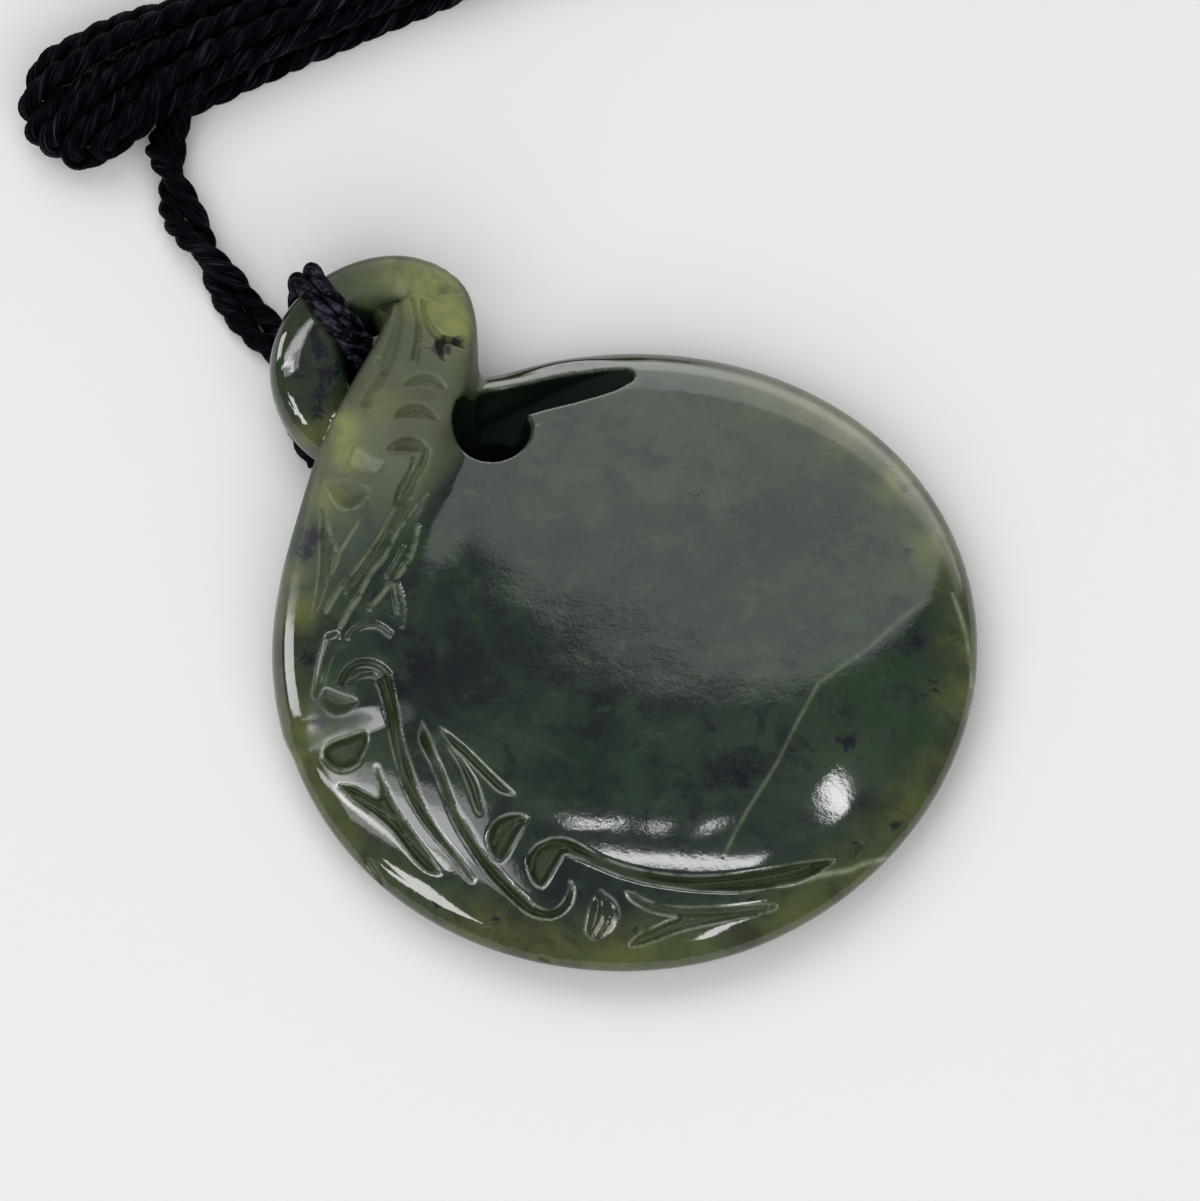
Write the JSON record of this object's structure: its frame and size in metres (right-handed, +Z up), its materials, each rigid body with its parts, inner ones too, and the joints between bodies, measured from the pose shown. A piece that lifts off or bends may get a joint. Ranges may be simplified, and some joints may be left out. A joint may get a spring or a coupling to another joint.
{
  "type": "carved greenstone twist pendant",
  "caption": "Engraved stone disc whose rim strand turns over itself in a loop, hung from a doubled cord kept in a tied bundle.",
  "frame": {"origin": "centre of the stone's bounding box, on the plane its flat back lies on", "axes": "+Y from the disc towards the loop at its top, +X to the right as seen from the engraved front, +Z up out of the front, away from the surface it lies on"},
  "size_m": [0.0622, 0.0878, 0.0093],
  "materials": {
    "greenstone": "polished, dark mottled green, lighter and slightly see-through at thin rims",
    "waxed_cord": "waxed twisted thread, near-black navy",
    "tie_thread": "waxed thread, black"
  },
  "bodies": {
    "root": {"greenstone_twist": "greenstone", "cord_hitch": "waxed_cord", "cord_left": "waxed_cord", "cord_right": "waxed_cord", "cord_hank": "waxed_cord", "hank_tie": "tie_thread", "cord_knot": "waxed_cord"}
  },
  "joints": []
}
